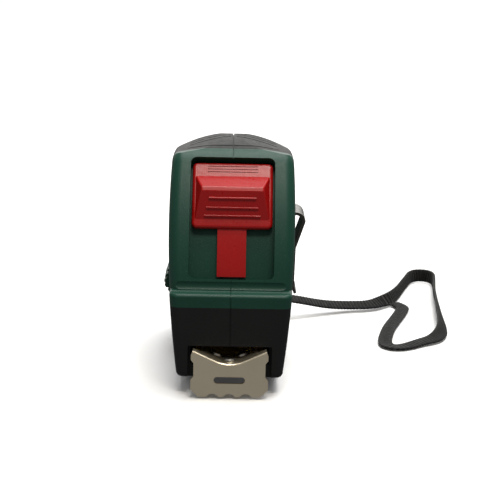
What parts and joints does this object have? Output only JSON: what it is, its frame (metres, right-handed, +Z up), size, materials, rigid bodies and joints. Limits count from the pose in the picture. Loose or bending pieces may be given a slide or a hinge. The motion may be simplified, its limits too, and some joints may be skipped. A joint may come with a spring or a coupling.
{
  "type": "pocket tape measure",
  "caption": "Pocket tape measure: two-tone case, sliding thumb lock, end hook, belt clip and wrist strap.",
  "frame": {"origin": "on the resting face, under the middle of the case, in the mid-plane between its halves", "axes": "+Z up; -Y out of the mouth, the way the blade leaves; +X towards the side with the belt clip"},
  "size_m": [0.0904, 0.1318, 0.0639],
  "materials": {
    "green_shell": "fine-grained moulded ABS, dark green",
    "black_rubber": "soft matte overmould",
    "red_plastic": "semi-gloss moulded plastic",
    "pad_rubber": "moulded rubber",
    "blade_paint": "yellow lacquered spring steel with printed scale",
    "hook_steel": "satin nickel plate",
    "rivet_steel": "bright",
    "reel_plastic": "natural acetal",
    "spring_steel": "blued spring steel",
    "spindle_steel": "turned",
    "liner_plastic": "thin slip film",
    "screw_steel": "black zinc",
    "clip_steel": "dark plated spring steel",
    "label_film": "printed film, plain rings",
    "webbing": "ribbed woven polyester"
  },
  "bodies": {
    "case": {"case_left": "green_shell", "case_right": "green_shell", "grip_left": "black_rubber", "grip_right": "black_rubber", "centre_spindle": "spindle_steel", "side_liner_left": "liner_plastic", "side_liner_right": "liner_plastic", "case_screws": "screw_steel", "clip_screw": "screw_steel", "belt_clip": "clip_steel", "side_label": "label_film", "strap_pin": "screw_steel", "wrist_strap_neck": "webbing", "wrist_strap_loop": "webbing", "strap_bartack": "webbing"},
    "blade": {"blade": "blade_paint", "hook_rivets": "rivet_steel"},
    "hook": {"end_hook": "hook_steel"},
    "reel": {"blade_coil": "blade_paint", "reel_drum": "reel_plastic", "reel_cover": "reel_plastic", "return_spring": "spring_steel", "blade_anchor": "spring_steel"},
    "lock": {"lock_slider": "red_plastic", "brake_pad": "pad_rubber"}
  },
  "joints": [
    {"name": "blade_pull", "type": "slide", "parent": "case", "child": "blade", "axis": [0, -1, 0], "range_m": [0, 0.045], "stiffness_N_per_m": 20, "springref_m": -0.2},
    {"name": "hook_play", "type": "slide", "parent": "blade", "child": "hook", "axis": [0, -1, 0], "range_m": [0, 0.001]},
    {"name": "reel_spin", "type": "hinge", "parent": "case", "child": "reel", "pos_m": [0, 0.0052, 0.0354], "axis": [1, 0, 0], "range_deg": [-115, 4]},
    {"name": "lock_slide", "type": "hinge", "parent": "case", "child": "lock", "pos_m": [0, 0.0483, 0.0121], "axis": [1, 0, 0], "range_deg": [0, 7.2]}
  ],
  "couplings": [
    {"joint": "reel_spin", "follows": "blade_pull", "rad_per_m": -43.103}
  ]
}
